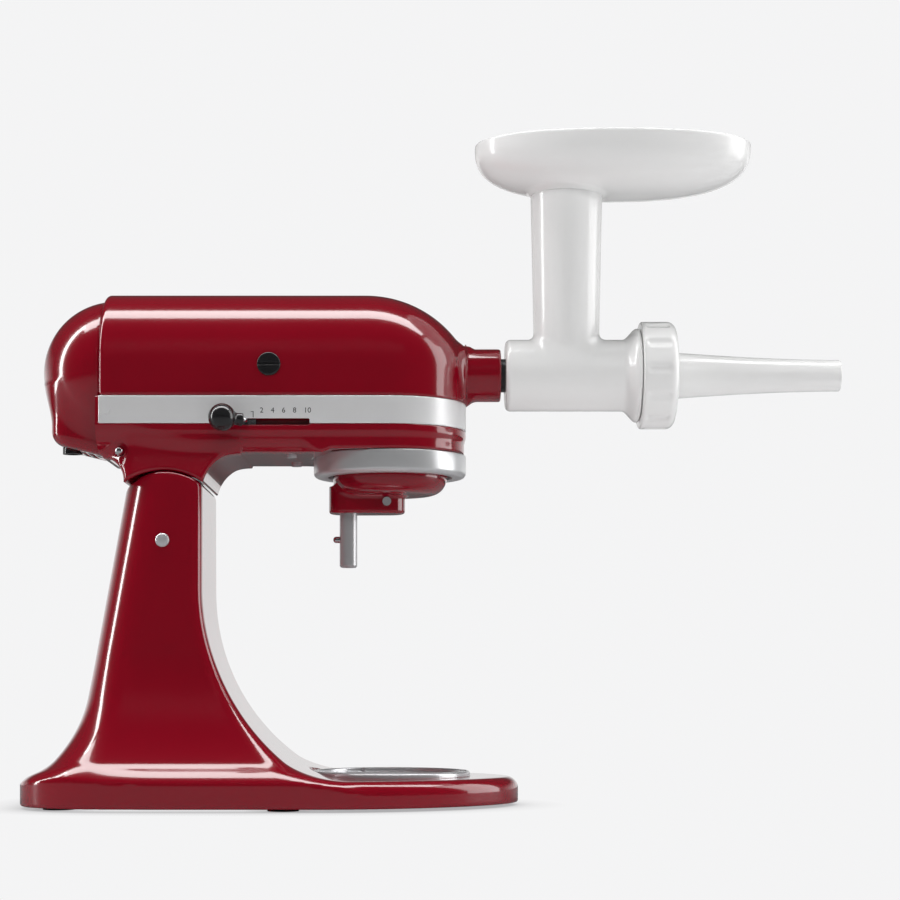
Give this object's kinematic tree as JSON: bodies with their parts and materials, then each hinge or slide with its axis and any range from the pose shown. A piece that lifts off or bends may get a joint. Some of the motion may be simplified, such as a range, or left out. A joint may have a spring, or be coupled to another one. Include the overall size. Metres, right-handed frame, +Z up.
{
  "type": "electric meat grinder",
  "caption": "Tilt-head stand mixer driving a food grinder with feed tube, food tray, ring nut and sausage stuffing tube from its front hub.",
  "frame": {"origin": "on the table, on the axis of the planetary and of the bowl clamp plate", "axes": "+X forward along the head towards the stuffing tube, +Z up, Y across the machine"},
  "size_m": [0.5667, 0.194, 0.46],
  "materials": {
    "enamel": "glossy baked enamel",
    "rubber": "matte",
    "chrome": "polished",
    "brushed_trim": "brushed",
    "black_plastic": "glossy",
    "brass": "machined",
    "carbon": "matte carbon",
    "iron": "rough",
    "copper": "enamelled wire",
    "bronze": "sintered bronze",
    "steel": "machined",
    "circuit_board": "matte",
    "white_plastic": "glossy moulded",
    "dark_shank": "satin"
  },
  "bodies": {
    "stand": {"pedestal": "enamel", "rubber_feet": "rubber", "bowl_clamp_plate": "chrome", "clamp_plate_screws": "steel", "hinge_pin": "chrome"},
    "head": {"head_upper_housing": "enamel", "head_lower_housing": "enamel", "rear_cap": "enamel", "trim_band": "brushed_trim", "trim_band_screws": "chrome", "brush_caps": "black_plastic", "brush_holders": "brass", "carbon_brushes": "carbon", "motor_stator": "iron", "field_coils": "copper", "motor_bearings": "steel", "bearing_brackets": "iron", "gearbox_bracket": "iron", "planetary_bearings": "bronze", "hub_bearing": "bronze", "planetary_trim_ring": "brushed_trim", "internal_ring_gear": "steel", "housing_screws": "chrome", "speed_control_board": "circuit_board", "cord_gland": "black_plastic"},
    "speed_lever": {"speed_knob": "black_plastic", "speed_lever_rod": "chrome", "speed_link": "steel"},
    "lock_lever": {"lock_rod": "chrome", "lock_lever_arm": "chrome"},
    "armature": {"motor_shaft": "steel", "armature_core": "copper", "commutator": "copper", "governor": "iron", "cooling_fan": "black_plastic", "drive_worm": "steel"},
    "wheel_shaft": {"worm_wheel": "bronze", "spur_pinion": "steel"},
    "carrier": {"planetary_shaft": "steel", "centre_spur_gear": "steel", "centre_bevel_gear": "steel", "planetary_carrier": "enamel", "carrier_pin": "chrome"},
    "beater": {"planet_pinion": "steel", "beater_shaft": "steel", "beater_cross_pin": "chrome"},
    "hub_drive": {"hub_drive_shaft": "steel", "hub_bevel_pinion": "steel"},
    "hub_knob": {"attachment_knob": "black_plastic", "attachment_screw": "steel"},
    "grinder": {"grinder_barrel": "white_plastic", "barrel_shank": "dark_shank"},
    "auger": {"auger": "white_plastic", "auger_shank": "steel", "cutting_knife": "steel"},
    "outlet": {"grinding_plate": "steel", "stuffing_tube": "white_plastic"},
    "ring_nut": {"ring_nut": "white_plastic"},
    "tray": {"food_tray": "white_plastic"}
  },
  "joints": [
    {"name": "head_tilt", "type": "hinge", "parent": "stand", "child": "head", "pos_m": [-0.1525, 0, 0.1812], "axis": [0, -1, 0], "range_deg": [0, 50]},
    {"name": "speed_slide", "type": "slide", "parent": "head", "child": "speed_lever", "axis": [1, 0, 0], "range_m": [0, 0.04]},
    {"name": "lock_turn", "type": "hinge", "parent": "head", "child": "lock_lever", "pos_m": [-0.1825, 0, 0.242], "axis": [0, -1, 0], "range_deg": [0, 40]},
    {"name": "motor_spin", "type": "hinge", "parent": "head", "child": "armature", "pos_m": [0, 0, 0.3], "axis": [1, 0, 0], "continuous": true},
    {"name": "wheel_spin", "type": "hinge", "parent": "head", "child": "wheel_shaft", "pos_m": [-0.03407, 0.026, 0.3], "axis": [0, 0, 1], "continuous": true},
    {"name": "planetary_spin", "type": "hinge", "parent": "head", "child": "carrier", "pos_m": [0, 0, 0.23], "axis": [0, 0, 1], "continuous": true},
    {"name": "beater_spin", "type": "hinge", "parent": "carrier", "child": "beater", "pos_m": [-0.029, 0, 0.2], "axis": [0, 0, 1], "continuous": true},
    {"name": "hub_spin", "type": "hinge", "parent": "head", "child": "hub_drive", "pos_m": [0.03, 0, 0.3], "axis": [1, 0, 0], "continuous": true},
    {"name": "hub_knob_turn", "type": "hinge", "parent": "head", "child": "hub_knob", "pos_m": [0.06505, 0, 0.3], "axis": [0, 1, 0], "continuous": true},
    {"name": "grinder_pull", "type": "slide", "parent": "head", "child": "grinder", "axis": [1, 0, 0], "range_m": [0, 0.05]},
    {"name": "auger_spin", "type": "hinge", "parent": "grinder", "child": "auger", "pos_m": [0.12, 0, 0.3], "axis": [1, 0, 0], "continuous": true},
    {"name": "outlet_pull", "type": "slide", "parent": "grinder", "child": "outlet", "axis": [1, 0, 0], "range_m": [0, 0.03]},
    {"name": "ring_nut_turn", "type": "hinge", "parent": "outlet", "child": "ring_nut", "pos_m": [0.186, 0, 0.3], "axis": [1, 0, 0], "continuous": true},
    {"name": "tray_lift", "type": "slide", "parent": "grinder", "child": "tray", "axis": [0, 0, 1], "range_m": [0, 0.06]}
  ],
  "couplings": [
    {"joint": "wheel_spin", "follows": "motor_spin", "ratio": -0.125},
    {"joint": "planetary_spin", "follows": "motor_spin", "ratio": 0.028689},
    {"joint": "beater_spin", "follows": "motor_spin", "ratio": -0.10656},
    {"joint": "hub_spin", "follows": "motor_spin", "ratio": 0.043033},
    {"joint": "auger_spin", "follows": "motor_spin", "ratio": 0.043033}
  ]
}
